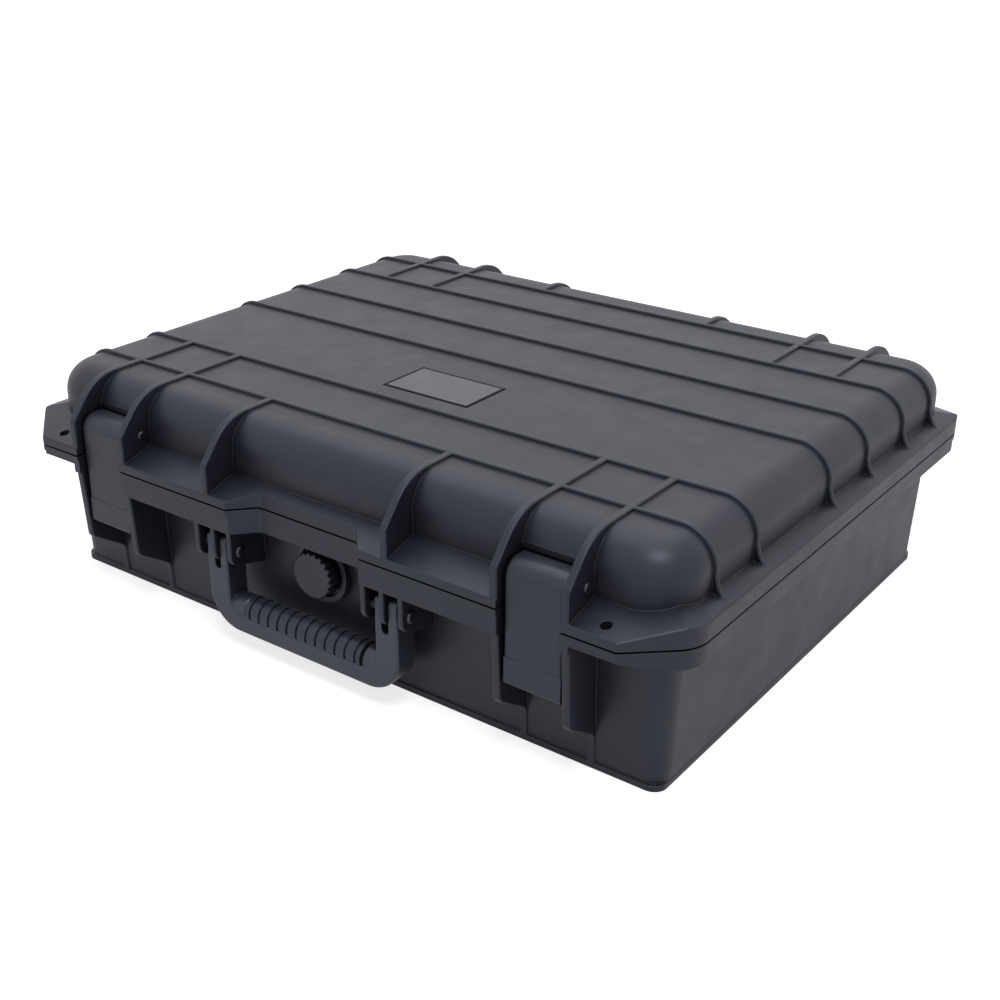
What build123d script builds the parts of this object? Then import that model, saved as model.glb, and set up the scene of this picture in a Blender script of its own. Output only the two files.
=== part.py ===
from build123d import *
import math
import os

# Laptop hard case: a base tub and a domed lid on a rear hinge, two double-throw
# latches, a folding carry handle and a pressure valve. Millimetres, X to the right,
# Y to the back, Z up; the origin is under the middle of the closed case, on the floor.

# --- Shells ---------------------------------------------------------------------
BASE_HALF_X = 229.6         # tub walls at the floor
BASE_HALF_Y = 173.0
BASE_DEPTH = 97.5           # floor to parting line
BASE_CORNER = 11.0
DRAFT = 2.35                # degrees the tub opens upwards
WALL = 3.2
FOOT_HEIGHT = 4.0           # raised band round the floor
FOOT_OUT_X = 0.4
FOOT_OUT_Y = 1.2            # as far as the fins' ridges
FOOT_CORNER = 8.5
FOOT_EDGE = 0.35
PARTING_GAP = 1.2           # seam between the two flanges
RIM_LIP = 6.0               # height of the lid's inner lip, which holds the seal
LID_OVER_X = 7.7            # the dome stands out past the tub
LID_OVER_Y = 8.65
LID_CORNER = 29.0           # plan radius of the dome's corners
LID_EDGE = 20.0             # radius between the walls and the flat top
LID_RISE = 46.4             # flat top above the parting line
LID_HALF_X = BASE_HALF_X + LID_OVER_X
LID_HALF_Y = BASE_HALF_Y + LID_OVER_Y

# --- Flanges --------------------------------------------------------------------
FLANGE_OUT_X = 11.2         # flanges past the dome's walls
FLANGE_OUT_Y = 23.2
FLANGE_HALF_X = LID_HALF_X + FLANGE_OUT_X
FLANGE_FRONT = LID_HALF_Y + FLANGE_OUT_Y    # the hinge knuckles reach as far back
CORNER_CUT = 30.4           # length of the corner chamfer along the front
CHAMFER_ANGLE = 42.0
FLANGE_CORNER = 22.0
TAB_CORNER = 3.0
LID_FLANGE_EDGE = 5.4       # thickness of the lid flange at its front edge
LID_FLANGE_SIDE = 11.0      # and at its sides
RAMP_SLOPE = 0.29           # the lid flange rises from its edge to the dome
EDGE_ROUND = 1.5
BASE_FLANGE_SIDE = 12.0     # thickness of the base flange at the sides
BASE_FLANGE_FRONT = 16.0    # and between the front fins
BASE_FLANGE_TAB = 6.5       # and at the padlock tabs
TAB_RAMP_OUT = 8.0          # ramp from the tab's underside to the side's
TAB_RAMP_IN = 2.0
BASE_LIP = 4.0              # the flange steps back below this
BASE_LIP_STEP = 0.7
RECESS_HALF_X = 38.0        # the front edge steps back behind the handle
RECESS_JOG_X = 51.5
RECESS_IN = 14.7
RECESS_ROUND = 5.0
PADLOCK_IN_X = 42.2         # padlock holes in from the flange's edges
PADLOCK_IN_Y = 8.8
PADLOCK_R = 3.15

# --- Ribs and fins --------------------------------------------------------------
RIB_SHARES = [-0.795, -0.5467, -0.0504, 0.243, 0.5467, 0.795]   # of the dome's half depth
RIB_WIDTH = 3.2
RIB_HEIGHT = 2.0
RIB_ROUND = 1.2
RIB_FLARE = 7.7             # how far the rib's foot runs out over the flange
FIN_SHARES = [0.2916, 0.6009, 0.788]    # of the dome's half width
FIN_THICK = 4.8
FIN_ROUND = 1.1
FIN_LOWER = 0.15            # fins' crests lie a little below the ribs'
FIN_BACK_STEP = 0.7         # short fins' edges behind the flange's
FIN_SHOULDER = 23.3         # height of their upright edge above the parting line
FIN_SLOPE = 50.0
FIN_CURVE = 32.2
BASE_FIN_STEP = 1.2         # base fins behind the flange's front edge
BASE_FIN_DROP = 59.0        # base fins' lower corner below the parting line
BASE_FIN_LEAN = 3.5
FIN_TAIL_DROP = 16.0        # the fin's lower edge falls this much back to the wall
FIN_TAIL_CURVE = 8.0        # and turns down it as a low ridge

# --- Hinges ---------------------------------------------------------------------
EAR_R = 5.5
HINGE_PIN_R = 2.5
HINGE_HEAD_R = 3.75
HINGE_HEAD_ROOM = 3.0
HINGE_SWEEP_R = 8.5         # room for the lid's ears to turn in the base fins
KNUCKLE_GAP = 0.6           # knuckle to the ears beside it
KNUCKLE_WEB = 36.0          # how far the knuckle's web runs down the wall
KNUCKLE_FOOT = 6.0          # and how thick it ends there
KNUCKLE_ROOM = 1.5          # round the knuckle in the lid
EAR_ROOM = 1.2              # round the lid's ears in the base
EAR_SIDE = 0.8
FLANGE_BACK_GAP = 0.95      # flange behind the hinge's axis

# --- Latches --------------------------------------------------------------------
LATCH_GAP = 1.6             # latch to the fins beside it
LATCH_STEP = 5.2            # latch face behind the flange's front edge
LATCH_PIN_STEP = 16.7
LATCH_PIN_RISE = 19.8       # latch pin above the parting line
LATCH_PIN_R = 2.5
LATCH_HEAD_R = 3.2
LATCH_TOP_RISE = 26.6       # top of the latch above the parting line
LATCH_TOP_R = 9.6
LATCH_DEPTH = 14.5
LATCH_SKIN = 3.5
LATCH_ROUND = 1.6
HUB_BACK = 6.9              # hub behind and below the latch's pin
HUB_ROUND = 3.0
HUB_POCKET_R = 9.35         # the lid's hollow round the latch's turning top
LATCH_RIM_STEP = 21.3       # rims behind the latches, from the flange's front edge
SEAM_DROP = 29.8            # joint of the latch and its lever below the parting line
LEVER_DROP = 46.3           # lower end of the lever
LEVER_RISE = 5.9            # seam above the lever's pin
LEVER_PIN_IN = 8.5          # lever pin behind the front face
LEVER_TOP_R = 10.2
LEVER_TOP_GAP = 0.4
LEVER_PIN_R = 2.0
LEVER_BOSS_R = 4.4
LUG_OFFSET = 8.0            # the body's two lugs carry the lever's pin
LUG_THICK = 4.0
LUG_FRONT = 1.6             # lugs' stems run behind the lever's pin
LUG_BACK = 6.4
LEVER_PIN_OUT = 5.0         # lever pin's ends past the lugs
SLOT_FRONT = 6.9            # slots in the lever for the lugs, about its pin
SLOT_BACK = 8.0
SLOT_LOW = 5.5
LEVER_BACK = 6.5
LEVER_LIP = 1.1             # slope from the claw up to the lever's back
FINGER_R = 4.0              # hollow for a fingertip under the lever
FINGER_HALF_X = 12.0
CLAW_REACH = 9.25           # claw behind the lever's pin
CLAW_THICK = 2.8
CATCH_GAP = 0.3
CATCH_DROP = 6.0            # catch's lower edge below the lever's pin

# --- Handle ---------------------------------------------------------------------
HANDLE_HALF_X = 74.8
HANDLE_ARM = 16.6           # width of each arm
HANDLE_STEP = 4.2           # handle behind the flange's front edge
HANDLE_THICK = 16.0
HANDLE_PIVOT_STEP = 8.7
HANDLE_PIVOT_DROP = 30.0    # below the parting line, as are the next five
HANDLE_BOTTOM_DROP = 83.5
HANDLE_STRIP_DROP = 72.0    # top of the flat strip in front of the grip
GRIP_DROP = 69.8
FORK_DROP = 44.4
EAR_DROP = 46.0             # ears' lower edge at the wall
EAR_STEP = 1.2
HANDLE_TOP_RISE = 8.0       # arms' ends above the pivot
HANDLE_TOP_R = 4.5
HANDLE_TOP_IN = 2.0         # the arm's back leans in towards its end
HANDLE_HEEL = 10.0          # below the pivot
HANDLE_ARM_R = 3.0
HANDLE_CORNER = 23.0
HANDLE_INNER_R = 9.0
HANDLE_ROUND = 1.5
GRIP_R = 9.0
GRIP_HALF_X = 45.6
GRIP_GROOVES = 12
GRIP_PITCH = 7.64
GRIP_GROOVE_W = 1.8
GRIP_GROOVE_D = 1.0
GRIP_CORE_R = 4.5
GRIP_STRIP_T = 3.4
SHOULDER_R = 8.4            # rounded shoulders between the arms and the grip
SHOULDER_ROUND = 2.5
SHOULDER_GAP = 0.6
FORK_X = 66.0               # the handle's arms are forked about the middle ear
FORK_SLOT = 5.2
EAR_PITCH = 13.5
EAR_THICK = 3.5
EAR_ROUND = 0.9
EAR_NOSE = 7.5              # ears' front corner below the pivot
HANDLE_PIN_R = 3.0
HANDLE_HEAD_R = 4.0

# --- Valve ----------------------------------------------------------------------
VALVE_DROP = 34.0
KNOB_R = 14.6
KNOB_TEETH = 20
KNOB_TOOTH = 1.1
KNOB_OUT = 16.0             # knob's face out from the tub's wall at the floor
KNOB_THICK = 8.6
KNOB_EDGE = 1.0
KNOB_STEM_R = 3.5
CUP_R = 20.0
CUP_WALL = 3.5
CUP_OUT = 8.0
CUP_FLOOR_OUT = 3.75
VALVE_BODY_R = 6.5
VALVE_BODY_GAP = 0.1
VALVE_BODY_END = 1.0        # housing past the nut
STEM_IN = 1.5               # stem's end short of the nut's
VALVE_DISC_R = 11.0
VALVE_DISC_T = 2.0
GASKET_T = 1.0
NUT_FLATS = 19.0
NUT_T = 4.0
BOSS_IN = 0.85

# --- Seal, nameplate and foam ---------------------------------------------------
SEAL_WIDTH = 3.4
SEAL_HEIGHT = 3.5
PLATE_X = 65.0
PLATE_Y = 39.4
PLATE_CENTRE = -0.3416      # of the dome's half depth
PLATE_T = 1.3
PLATE_RECESS = 1.0
PLATE_GAP = 0.8
PLATE_CHAMFER = 0.3
PLATE_CORNER = 2.0
FOAM_GAP = 4.5              # foam to the walls at the rim
FOAM_CORNER = 20.0
PAD_GAP = 3.0
PAD_T = 15.0
TRAY_DROP = 4.0             # top of the tray below the parting line
BAY_X = 392.0
BAY_Y = 282.0
BAY_DEPTH = 38.0
BAY_CORNER = 5.0
SCOOP_R = 26.0
LID_FOAM_T = 32.0
LID_FOAM_CUT = 12.0         # chamfer that clears the dome's round edge

# --- Fits -----------------------------------------------------------------------
TIGHT = 0.03
RUNNING = 0.08
CLEAR = 0.3
PIN_END = 0.05              # play of a pin's heads

# --- Worked out from the sizes above --------------------------------------------
RIM_Z = BASE_DEPTH - PARTING_GAP / 2
LID_Z = BASE_DEPTH + PARTING_GAP / 2
TOP_Z = BASE_DEPTH + LID_RISE
CREST_Z = TOP_Z + RIB_HEIGHT
FIN_TOP = CREST_Z - FIN_LOWER
SPREAD = math.tan(math.radians(DRAFT))
CAVITY_X = BASE_HALF_X + BASE_DEPTH * SPREAD - WALL
CAVITY_Y = BASE_HALF_Y + BASE_DEPTH * SPREAD - WALL
TAB_X = FLANGE_HALF_X - CORNER_CUT
RECESS_Y = FLANGE_FRONT - RECESS_IN
PADLOCK_X = FLANGE_HALF_X - PADLOCK_IN_X
PADLOCK_Y = FLANGE_FRONT - PADLOCK_IN_Y
RIB_Y = [share * LID_HALF_Y for share in RIB_SHARES]
FIN_X = [share * LID_HALF_X for share in FIN_SHARES]
PLATE_CENTRE_Y = PLATE_CENTRE * LID_HALF_Y
EAR_FRONT = FLANGE_FRONT - EAR_STEP
FIN_FRONT = FLANGE_FRONT - FIN_BACK_STEP
BASE_FIN_FRONT = FLANGE_FRONT - BASE_FIN_STEP
HINGE_Y = FLANGE_FRONT - EAR_R
HINGE_Z = BASE_DEPTH
FLANGE_BACK = HINGE_Y - FLANGE_BACK_GAP
LATCH_X = (FIN_X[1] + FIN_X[2]) / 2
BAY_HALF_GAP = (FIN_X[2] - FIN_X[1] - FIN_THICK) / 2
LATCH_HALF_WIDTH = BAY_HALF_GAP - LATCH_GAP
LATCH_FRONT = FLANGE_FRONT - LATCH_STEP
LATCH_PIN_Y = FLANGE_FRONT - LATCH_PIN_STEP
LATCH_PIN_Z = BASE_DEPTH + LATCH_PIN_RISE
LATCH_TOP_Z = BASE_DEPTH + LATCH_TOP_RISE
LATCH_RIM = FLANGE_FRONT - LATCH_RIM_STEP
SEAM_Z = BASE_DEPTH - SEAM_DROP
LEVER_BOTTOM_Z = BASE_DEPTH - LEVER_DROP
LEVER_Y = LATCH_FRONT - LEVER_PIN_IN
LEVER_Z = SEAM_Z - LEVER_RISE
HANDLE_FRONT = FLANGE_FRONT - HANDLE_STEP
HANDLE_PIVOT_Y = FLANGE_FRONT - HANDLE_PIVOT_STEP
HANDLE_PIVOT_Z = BASE_DEPTH - HANDLE_PIVOT_DROP
HANDLE_BOTTOM_Z = BASE_DEPTH - HANDLE_BOTTOM_DROP
HANDLE_STRIP_Z = BASE_DEPTH - HANDLE_STRIP_DROP
GRIP_Y = HANDLE_FRONT - GRIP_R
GRIP_Z = BASE_DEPTH - GRIP_DROP
FORK_BOTTOM_Z = BASE_DEPTH - FORK_DROP
VALVE_Z = BASE_DEPTH - VALVE_DROP
KNOB_FRONT = BASE_HALF_Y + KNOB_OUT
CUP_FRONT = BASE_HALF_Y + CUP_OUT
CUP_FLOOR = BASE_HALF_Y + CUP_FLOOR_OUT
BOSS_BACK = BASE_HALF_Y - BOSS_IN
TRAY_TOP_Z = BASE_DEPTH - TRAY_DROP


def block(x0, x1, y0, y1, z0, z1):
    """Box between two corners."""
    centre = Pos((x0 + x1) / 2, (y0 + y1) / 2, (z0 + z1) / 2)
    return centre * Box(abs(x1 - x0), abs(y1 - y0), abs(z1 - z0))


def rod(x0, x1, y, z, r):
    """Cylinder along X."""
    return Pos((x0 + x1) / 2, y, z) * Rot(0, 90, 0) * Cylinder(r, abs(x1 - x0))


def post(x, y, z0, z1, r):
    """Cylinder along Z."""
    return Pos(x, y, (z0 + z1) / 2) * Cylinder(r, z1 - z0)


def barrel(x, y0, y1, z, r):
    """Cylinder along Y."""
    return Pos(x, (y0 + y1) / 2, z) * Rot(90, 0, 0) * Cylinder(r, abs(y1 - y0))


def outline(corners):
    """Closed face from (u, v, radius) corners."""
    points = [(u, v) for u, v, _ in corners]
    radii = [r for _, _, r in corners]
    return make_face(FilletPolyline(*points, radius=radii, close=True))


def side_plate(corners, x0, x1):
    """Plate between x0 and x1 with a (y, z, radius) outline."""
    face = Plane.YZ.offset(x0) * outline(corners)
    return extrude(face, x1 - x0)


def both_sides(shape):
    """The shape and its mirror image across the middle of the case."""
    return shape + mirror(shape, Plane.YZ)


def tub(half_x, half_y, corner, z0, z1, draft=0.0):
    """Rounded prism, opening upwards by the draft angle."""
    face = Pos(0, 0, z0) * RectangleRounded(2 * half_x, 2 * half_y, corner)
    return extrude(face, z1 - z0, taper=-draft)


def soft_plate(corners, x0, x1, r):
    """Side plate with its long outer edges rounded."""
    plate = side_plate(corners, x0, x1)
    long_edges = [e for e in plate.edges() if abs(e.center().X - (x0 + x1) / 2) > 0.4 * abs(x1 - x0)]
    return fillet(long_edges, r)


def flange_outline(round_corners=True, inset=0.0):
    """Plan of the two flanges: chamfered corners, the back edge just inside the hinge."""
    slope = math.tan(math.radians(CHAMFER_ANGLE))
    side_y = FLANGE_FRONT - CORNER_CUT * slope
    half = FLANGE_HALF_X - inset
    front = FLANGE_FRONT - inset
    back = FLANGE_BACK - inset
    tab = TAB_X - inset / 2
    big = FLANGE_CORNER if round_corners else 0
    small = TAB_CORNER if round_corners else 0
    back_x = tab + (front - back) / slope
    return outline([
        (tab, -front, small),
        (half, -side_y, big),
        (half, side_y, big),
        (back_x, back, small),
        (-back_x, back, small),
        (-half, side_y, big),
        (-half, -side_y, big),
        (-tab, -front, small),
    ])


def roof(low, near, far, edge):
    """Section (u, z) under two ramps that rise inwards from their edges."""
    middle = (far + near) / 2
    return outline([
        (near, low, 0),
        (far, low, 0),
        (far, edge, 0),
        (middle, edge + (far - middle) * RAMP_SLOPE, 0),
        (near, edge, 0),
    ])


def lid_flange():
    """Lid flange with its top rising from the front, back and sides to the dome."""
    tall = TOP_Z - LID_Z
    plan = extrude(Pos(0, 0, LID_Z) * flange_outline(False), tall)
    rounded = extrude(Pos(0, 0, LID_Z) * flange_outline(), tall)
    front_z = BASE_DEPTH + LID_FLANGE_EDGE
    side_z = BASE_DEPTH + LID_FLANGE_SIDE
    along = Plane.YZ.offset(-FLANGE_HALF_X) * roof(LID_Z, -FLANGE_FRONT, FLANGE_BACK, front_z)
    across = Plane.XZ.offset(-FLANGE_FRONT) * roof(LID_Z, -FLANGE_HALF_X, FLANGE_HALF_X, side_z)
    flange = plan & extrude(along, 2 * FLANGE_HALF_X) & extrude(across, 2 * FLANGE_FRONT)
    flange &= Pos(0, 0, LID_Z) * Box(
        2 * FLANGE_HALF_X, 2 * FLANGE_FRONT, 2 * (LID_RISE - LID_EDGE)
    )
    walls = [face for face in flange.faces() if abs(face.normal_at().Z) < 0.01]
    rim = [
        e for face in walls for e in face.edges()
        if min(v.Z for v in e.vertices()) > LID_Z + 1
    ]
    return fillet(rim, EDGE_ROUND) & rounded


def recess(z0, z1):
    """Step in the front flanges behind the handle, with rounded jogs."""
    far = FLANGE_FRONT + 5
    r = RECESS_ROUND
    face = outline([
        (-RECESS_JOG_X, -FLANGE_FRONT, r),
        (-RECESS_HALF_X, -RECESS_Y, r),
        (RECESS_HALF_X, -RECESS_Y, r),
        (RECESS_JOG_X, -FLANGE_FRONT, r),
        (RECESS_JOG_X + far - FLANGE_FRONT, -far, 0),
        (-RECESS_JOG_X - far + FLANGE_FRONT, -far, 0),
    ])
    return extrude(Pos(0, 0, z0) * face, z1 - z0)


def latch_bays(z0, z1):
    """Gaps in the front flanges where the latches lie."""
    bay = block(
        LATCH_X - BAY_HALF_GAP, LATCH_X + BAY_HALF_GAP, -FLANGE_FRONT - 5, -LATCH_RIM, z0, z1
    )
    return both_sides(bay)


def padlock_holes():
    """Holes through both flanges at the front corners."""
    return both_sides(post(PADLOCK_X, -PADLOCK_Y, 0.7 * BASE_DEPTH, TOP_Z, PADLOCK_R))


def lid_fin(x, front, foot_z, end_y):
    """Fin up the lid's wall: upright edge, slope, then a curve on to the top."""
    slope = math.radians(FIN_SLOPE)
    shoulder = BASE_DEPTH + FIN_SHOULDER
    drop = FIN_CURVE * (1 - math.cos(slope))
    run = (FIN_TOP - drop - shoulder) / math.tan(slope)
    knee = run + FIN_CURVE * (math.sin(slope) - math.tan(slope / 2)) - front
    return soft_plate([
        (-front, foot_z, 0),
        (-front, shoulder, 3),
        (knee, FIN_TOP, FIN_CURVE),
        (end_y, FIN_TOP, 0),
        (end_y, foot_z, 0),
    ], x - FIN_THICK / 2, x + FIN_THICK / 2, FIN_ROUND)


def lid_fins():
    """Fins at the front and back of the lid."""
    foot_z = BASE_DEPTH + LID_FLANGE_EDGE
    short_end = RIB_Y[0] + 0.4
    tall_end = RIB_Y[1] + 0.4
    fins = lid_fin(FIN_X[0], FIN_FRONT, foot_z, short_end)
    fins += mirror(lid_fin(FIN_X[0], FLANGE_BACK - FIN_BACK_STEP, foot_z, short_end), Plane.XZ)
    for x in FIN_X[1:]:
        ear = rod(x - FIN_THICK / 2, x + FIN_THICK / 2, HINGE_Y, HINGE_Z, EAR_R)
        fins += lid_fin(x, FIN_FRONT, LID_Z, tall_end)
        fins += mirror(lid_fin(x, FLANGE_FRONT, LID_Z, tall_end), Plane.XZ) + ear
    return both_sides(fins)


def lid_rib(y):
    """Rib along the top that follows the edge down and flares out over the flange."""
    centre_x = LID_HALF_X - LID_EDGE
    side_x = LID_HALF_X + RIB_HEIGHT
    bend_z = TOP_Z - LID_EDGE
    foot_z = BASE_DEPTH + LID_FLANGE_SIDE - 1
    tip_x = side_x + RIB_FLARE
    crest = Line((-centre_x, CREST_Z), (centre_x, CREST_Z))
    turn = JernArc((centre_x, CREST_Z), (1, 0), side_x - centre_x, -90)
    flare = TangentArc((side_x, bend_z), (tip_x, foot_z), tangent=(0, -1))
    foot = Line((tip_x, foot_z), (-tip_x, foot_z))
    face = make_face([crest, turn, flare, foot, mirror(turn, Plane.YZ), mirror(flare, Plane.YZ)])
    rib = extrude(Plane.XZ.offset(-y - RIB_WIDTH / 2) * face, RIB_WIDTH)
    long_edges = [
        e for e in rib.edges()
        if abs(e.center().Y - y) > 0.4 * RIB_WIDTH and e.center().Z > foot_z + 1
    ]
    return fillet(long_edges, RIB_ROUND)


def dome():
    """Outer form of the lid's dome."""
    body = tub(LID_HALF_X, LID_HALF_Y, LID_CORNER, LID_Z, TOP_Z)
    return fillet(body.faces().sort_by(Axis.Z)[-1].edges(), LID_EDGE)


def lid_cavity():
    """Inside of the lid: a lip at the rim, then the full width."""
    corner = LID_CORNER - WALL
    lip_z = LID_Z + RIM_LIP
    throat = tub(CAVITY_X, CAVITY_Y, corner - 4, LID_Z - 1, lip_z)
    room = tub(LID_HALF_X - WALL, LID_HALF_Y - WALL, corner, lip_z, TOP_Z - WALL)
    room = fillet(room.faces().sort_by(Axis.Z)[-1].edges(), LID_EDGE - WALL)
    return throat + room


def seal_ring(width, z0, z1):
    """Rounded rectangular ring midway between the cavity and the latch rims."""
    middle = (LATCH_RIM - CAVITY_Y) / 2
    corner = BASE_CORNER - WALL + middle
    rings = []
    for out in (middle + width / 2, middle - width / 2):
        rings.append(tub(CAVITY_X + out, CAVITY_Y + out, corner - middle + out, z0, z1))
    return rings[0] - rings[1]


def hub_hollows(grow):
    """Round hollows in the lid's front wall for the latch hubs."""
    hollow = rod(
        LATCH_X - BAY_HALF_GAP - grow, LATCH_X + BAY_HALF_GAP + grow,
        -LATCH_PIN_Y, LATCH_PIN_Z, HUB_POCKET_R + grow,
    )
    return both_sides(hollow)


def knuckle_notches():
    """Room in the lid's back flange for the base's hinge knuckles."""
    reach = EAR_R + KNUCKLE_ROOM
    notch = block(
        LATCH_X - BAY_HALF_GAP, LATCH_X + BAY_HALF_GAP,
        HINGE_Y - reach, FLANGE_FRONT + 5, LID_Z - 1, HINGE_Z + 2 * reach,
    )
    return both_sides(notch)


def lid_shell():
    """Lid moulding."""
    shell = dome() + lid_flange()
    for y in RIB_Y:
        shell += lid_rib(y)
    shell -= recess(LID_Z - 1, TOP_Z)
    shell -= latch_bays(LID_Z - 1, LATCH_PIN_Z)
    shell += lid_fins()
    shell -= lid_cavity()
    linings = hub_hollows(WALL) & block(
        -LID_HALF_X, LID_HALF_X, -LID_HALF_Y, -CAVITY_Y / 2, LID_Z + RIM_LIP, TOP_Z - 1
    )
    shell += linings
    shell -= hub_hollows(0)
    shell -= seal_ring(SEAL_WIDTH, LID_Z - 1, RIM_Z + SEAL_HEIGHT + 0.1)
    shell -= knuckle_notches()
    shell -= padlock_holes()
    shell -= both_sides(pin_line(-LATCH_PIN_Y, LATCH_PIN_Z, LATCH_PIN_R + TIGHT))
    shell -= both_sides(pin_line(HINGE_Y, HINGE_Z, HINGE_PIN_R + RUNNING))
    shell -= pin_head_room()
    shell -= plate_recess()
    return shell


def pin_line(y, z, r):
    """Bore through both fins beside a latch or hinge."""
    return rod(FIN_X[1] - FIN_THICK, FIN_X[2] + FIN_THICK, y, z, r)


def pin_head_room():
    """Pockets in the back flanges for the hinge pins' heads."""
    half = (FIN_X[2] - FIN_X[1] + FIN_THICK) / 2
    room = Part()
    for side in (-1, 1):
        x = LATCH_X + side * half
        room += rod(x, x + side * HINGE_HEAD_ROOM, HINGE_Y, HINGE_Z, HINGE_HEAD_R + 2 * CLEAR)
    return both_sides(room)


def plate_recess():
    """Shallow pocket in the lid's top for the nameplate."""
    width = PLATE_X + 2 * PLATE_GAP
    depth = PLATE_Y + 2 * PLATE_GAP
    return block(
        -width / 2, width / 2, PLATE_CENTRE_Y - depth / 2, PLATE_CENTRE_Y + depth / 2,
        TOP_Z - PLATE_RECESS, TOP_Z + 1,
    )


def nameplate():
    """Bare plate bonded in the lid's recess."""
    bottom = TOP_Z - PLATE_RECESS
    face = Pos(0, PLATE_CENTRE_Y, bottom) * RectangleRounded(PLATE_X, PLATE_Y, PLATE_CORNER)
    plate = extrude(face, PLATE_T)
    return chamfer(plate.faces().sort_by(Axis.Z)[-1].edges(), PLATE_CHAMFER)


def base_flange():
    """Base flange: thin at the tabs, deeper at the sides and deepest at the front."""
    lip_z = BASE_DEPTH - BASE_LIP
    low = BASE_DEPTH - BASE_FLANGE_FRONT
    full = extrude(Pos(0, 0, lip_z) * flange_outline(), RIM_Z - lip_z)
    full += extrude(Pos(0, 0, low) * flange_outline(inset=BASE_LIP_STEP), lip_z - low)
    side_z = BASE_DEPTH - BASE_FLANGE_SIDE
    tab_z = BASE_DEPTH - BASE_FLANGE_TAB
    low_z = BASE_DEPTH - BASE_FLANGE_FRONT - 1
    inner = FIN_X[1] + FIN_THICK / 2
    outer = FIN_X[2] + FIN_THICK / 2
    end_x = FLANGE_HALF_X + 5
    under = outline([
        (inner, low_z, 0),
        (end_x, low_z, 0),
        (end_x, side_z, 0),
        (FLANGE_HALF_X - TAB_RAMP_OUT, side_z, 12),
        (TAB_X - TAB_RAMP_IN, tab_z, 12),
        (outer, tab_z, 0),
        (outer, side_z, 0),
        (inner, side_z, 0),
    ])
    cut = extrude(Plane.XZ.offset(-FLANGE_FRONT - 5) * under, 2 * FLANGE_FRONT + 10)
    back_cut = block(-inner - 1, inner + 1, 0, FLANGE_FRONT + 5, low_z, side_z)
    return full - both_sides(cut) - back_cut


def base_fin(x, front):
    """Fin on the base that runs down into a low ridge on the wall."""
    ridge_y = BASE_HALF_Y + FOOT_OUT_Y
    low = BASE_DEPTH - BASE_FIN_DROP
    tail = low - FIN_TAIL_DROP
    inner = BASE_HALF_Y - WALL
    return soft_plate([
        (-front, RIM_Z, 0),
        (-front + BASE_FIN_LEAN, low, 6),
        (-ridge_y - tail * SPREAD, tail, FIN_TAIL_CURVE),
        (-ridge_y, 1.0, 0),
        (-inner, 1.0, 0),
        (-inner, RIM_Z, 0),
    ], x - FIN_THICK / 2, x + FIN_THICK / 2, FIN_ROUND)


def base_fins():
    """Fins at the front and back of the base; the hinge side leaves room for the ears."""
    front = Part()
    for x in FIN_X[1:]:
        front += base_fin(x, BASE_FIN_FRONT)
    back = mirror(front, Plane.XZ)
    sweep = rod(
        FIN_X[1] - FIN_THICK, FIN_X[2] + FIN_THICK, HINGE_Y, HINGE_Z, HINGE_SWEEP_R
    )
    return both_sides(front + (back - sweep))


def handle_ears():
    """Three plates on each side that carry the handle's pin."""
    top = BASE_DEPTH - BASE_FLANGE_FRONT + 1
    back = -BASE_HALF_Y + 2
    ears = Part()
    for step in (-1, 0, 1):
        x = FORK_X + step * EAR_PITCH
        ears += soft_plate([
            (-EAR_FRONT, top, 0),
            (-EAR_FRONT, HANDLE_PIVOT_Z - EAR_NOSE, 7),
            (back, BASE_DEPTH - EAR_DROP, 0),
            (back, top, 0),
        ], x - EAR_THICK / 2, x + EAR_THICK / 2, EAR_ROUND)
    return both_sides(ears)


def hinge_knuckles():
    """Barrels on the base between the lid's ears."""
    half = BAY_HALF_GAP - KNUCKLE_GAP
    knuckle = rod(LATCH_X - half, LATCH_X + half, HINGE_Y, HINGE_Z, EAR_R)
    under = HINGE_Z - EAR_R / 2
    low = HINGE_Z - KNUCKLE_WEB
    web = side_plate([
        (HINGE_Y + EAR_R * 0.85, under, 0),
        (BASE_HALF_Y, under, 0),
        (BASE_HALF_Y, low, 0),
        (BASE_HALF_Y + low * SPREAD + KNUCKLE_FOOT, low, 6),
    ], LATCH_X - half, LATCH_X + half)
    return both_sides(knuckle + web)


def catches():
    """Ledges between the front fins that the latch claws pull under."""
    front = LEVER_Y - CLAW_REACH - CATCH_GAP
    low = LEVER_Z - CATCH_DROP
    ledge = side_plate([
        (-front, low, 0.6),
        (-front, low + 5, 2),
        (-BASE_HALF_Y + 2, low + 14, 0),
        (-BASE_HALF_Y + 2, low, 0),
    ], LATCH_X - BAY_HALF_GAP - 1, LATCH_X + BAY_HALF_GAP + 1)
    return both_sides(ledge)


def valve_cup():
    """Boss through the front wall with a cup round the knob."""
    boss = barrel(0, -BOSS_BACK, -CUP_FRONT, VALVE_Z, CUP_R)
    return boss - barrel(0, -CUP_FLOOR, -CUP_FRONT, VALVE_Z, CUP_R - CUP_WALL)


def base_walls():
    """The tub with the raised band round its foot."""
    body = tub(BASE_HALF_X, BASE_HALF_Y, BASE_CORNER, 0, RIM_Z, DRAFT)
    foot = tub(BASE_HALF_X + FOOT_OUT_X, BASE_HALF_Y + FOOT_OUT_Y, FOOT_CORNER, 0, FOOT_HEIGHT)
    rims = foot.faces().sort_by(Axis.Z)[0].edges() + foot.faces().sort_by(Axis.Z)[-1].edges()
    return body + fillet(rims, FOOT_EDGE)


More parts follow.
